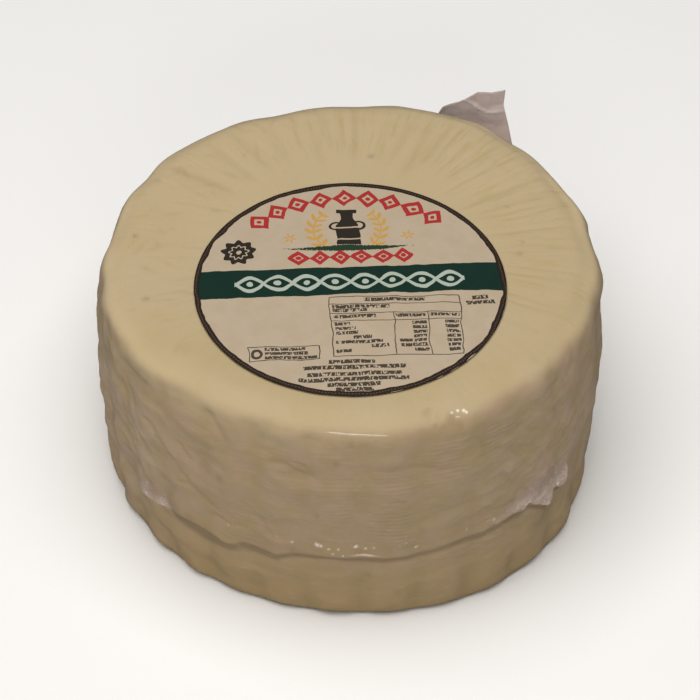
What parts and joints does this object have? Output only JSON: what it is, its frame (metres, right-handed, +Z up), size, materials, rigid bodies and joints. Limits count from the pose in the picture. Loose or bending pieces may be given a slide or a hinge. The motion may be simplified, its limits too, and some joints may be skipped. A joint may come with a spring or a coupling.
{
  "type": "vacuum-packed moulded ricotta round",
  "caption": "Basket-moulded ricotta round in a clinging clear vacuum bag, with a round label on top, the sealed bag end laid round the side and a bag corner standing up behind.",
  "frame": {"origin": "centre of the flat base that the round stands on", "axes": "+Z up through the round, -Y towards the side with the label and the bag's sealed end, +X to its right"},
  "size_m": [0.1898, 0.1994, 0.1008],
  "materials": {
    "curd_in_film": "pale cream curd seen through clear clinging film",
    "label": "satin printed label stuck on the film, in green, red, ochre and dark brown",
    "sealed_film": "crinkled, frosted double film, welded along its edge",
    "slack_film": "slack greyish clear double film with a bright crease"
  },
  "bodies": {
    "root": {"packed_round": "curd_in_film", "label": "label", "bag_tail": "sealed_film", "bag_corner": "slack_film"}
  },
  "joints": []
}
